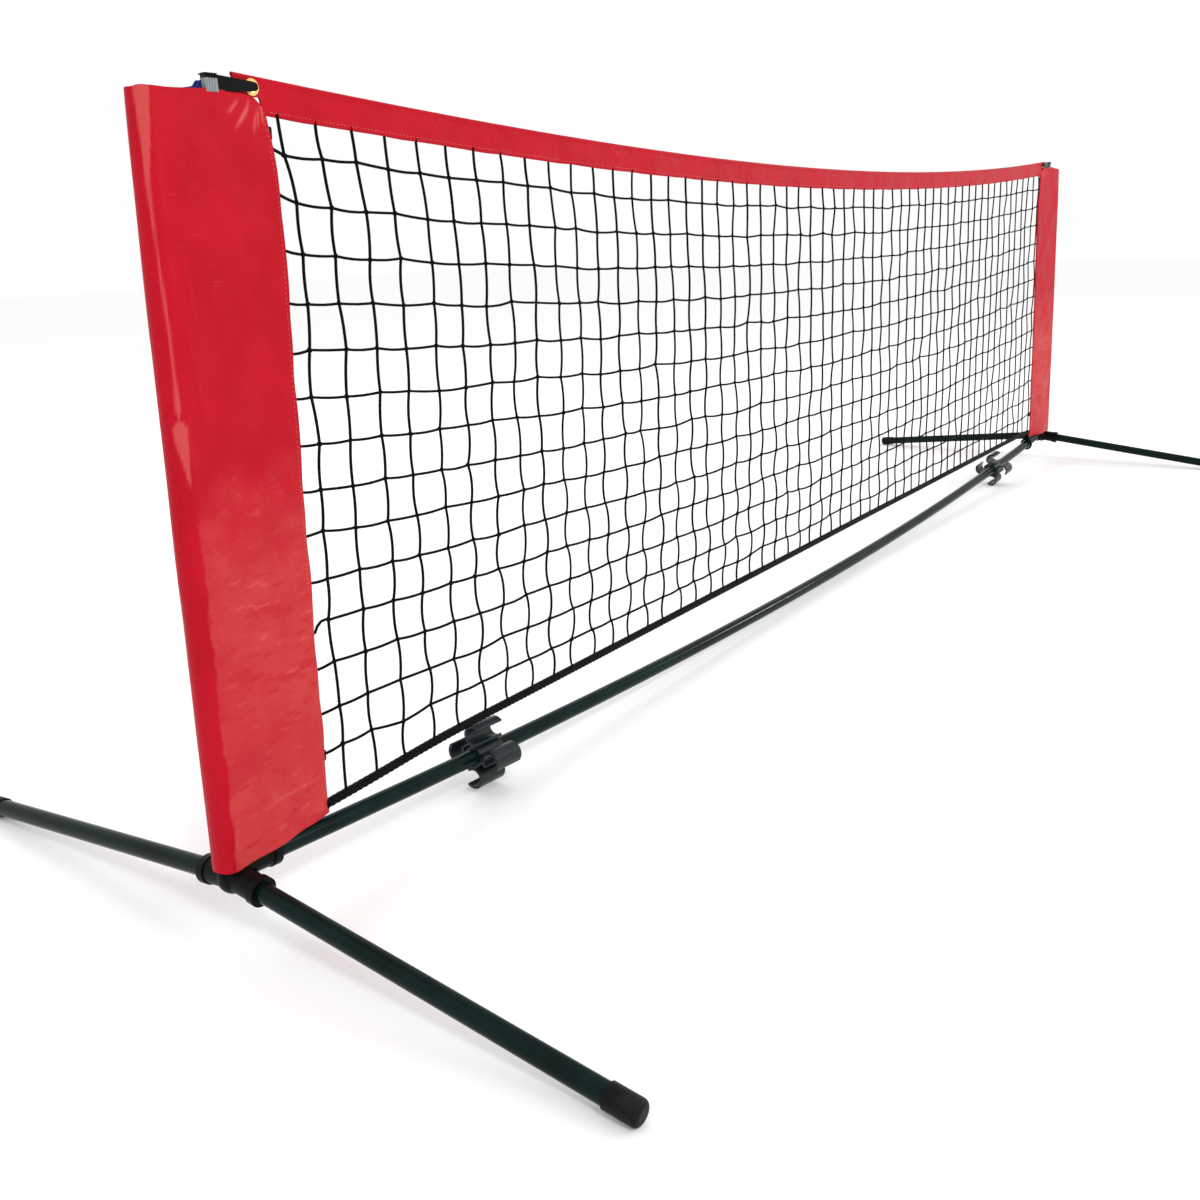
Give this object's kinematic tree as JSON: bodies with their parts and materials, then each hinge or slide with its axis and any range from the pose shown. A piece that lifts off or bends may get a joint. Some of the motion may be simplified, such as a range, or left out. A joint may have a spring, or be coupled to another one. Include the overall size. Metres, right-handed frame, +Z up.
{
  "type": "portable mini net",
  "caption": "Free-standing portable court net: sagging headband, knotted mesh and side sleeves on a tube frame with splayed legs and storage clips.",
  "frame": {"origin": "on the floor, midway between the posts and in the plane of the net", "axes": "+X along the net towards the right end, +Y across the net towards the rear legs, +Z up"},
  "size_m": [3.115, 1.0772, 0.909],
  "materials": {
    "tube": "satin",
    "hub_plastic": "satin",
    "cap_plastic": "matte",
    "foot_rubber": "satin",
    "clip_plastic": "satin",
    "red_cloth": "coated, glossy",
    "eyelet_brass": "polished",
    "hook_plastic": "glossy",
    "blue_webbing": "woven",
    "tie_tape": "woven",
    "mesh_cord": "knotted cord",
    "edge_cord": "braided cord"
  },
  "bodies": {
    "frame": {"hub_left": "hub_plastic", "post_left": "tube", "post_cap_left": "cap_plastic", "bar_left": "tube", "sleeve_left": "red_cloth", "strap_left": "blue_webbing", "hook_left": "hook_plastic", "eyelet_left": "eyelet_brass", "tie_upper_left": "tie_tape", "tie_lower_left": "tie_tape", "hub_right": "hub_plastic", "post_right": "tube", "post_cap_right": "cap_plastic", "bar_right": "tube", "sleeve_right": "red_cloth", "strap_right": "blue_webbing", "hook_right": "hook_plastic", "eyelet_right": "eyelet_brass", "tie_upper_right": "tie_tape", "tie_lower_right": "tie_tape", "bar_middle": "tube", "headband": "red_cloth", "netting": "mesh_cord", "bottom_cord": "edge_cord"},
    "leg_front_left": {"leg_front_left": "tube", "foot_front_left": "foot_rubber"},
    "leg_rear_left": {"leg_rear_left": "tube", "foot_rear_left": "foot_rubber"},
    "leg_front_right": {"leg_front_right": "tube", "foot_front_right": "foot_rubber"},
    "leg_rear_right": {"leg_rear_right": "tube", "foot_rear_right": "foot_rubber"},
    "clip_left": {"clip_left": "clip_plastic"},
    "clip_right": {"clip_right": "clip_plastic"}
  },
  "joints": [
    {"name": "leg_front_left_pull", "type": "slide", "parent": "frame", "child": "leg_front_left", "axis": [0, -0.9942, -0.108], "range_m": [0, 0.028]},
    {"name": "leg_rear_left_pull", "type": "slide", "parent": "frame", "child": "leg_rear_left", "axis": [0, 0.9942, -0.108], "range_m": [0, 0.028]},
    {"name": "leg_front_right_pull", "type": "slide", "parent": "frame", "child": "leg_front_right", "axis": [0, -0.9942, -0.108], "range_m": [0, 0.028]},
    {"name": "leg_rear_right_pull", "type": "slide", "parent": "frame", "child": "leg_rear_right", "axis": [0, 0.9942, -0.108], "range_m": [0, 0.028]},
    {"name": "clip_left_turn", "type": "hinge", "parent": "frame", "child": "clip_left", "pos_m": [-1.128, 0, 0.05209], "axis": [0.9983, 0, -0.0586], "continuous": true},
    {"name": "clip_right_turn", "type": "hinge", "parent": "frame", "child": "clip_right", "pos_m": [1.062, 0, 0.04833], "axis": [0.9985, 0, 0.0552], "continuous": true}
  ]
}
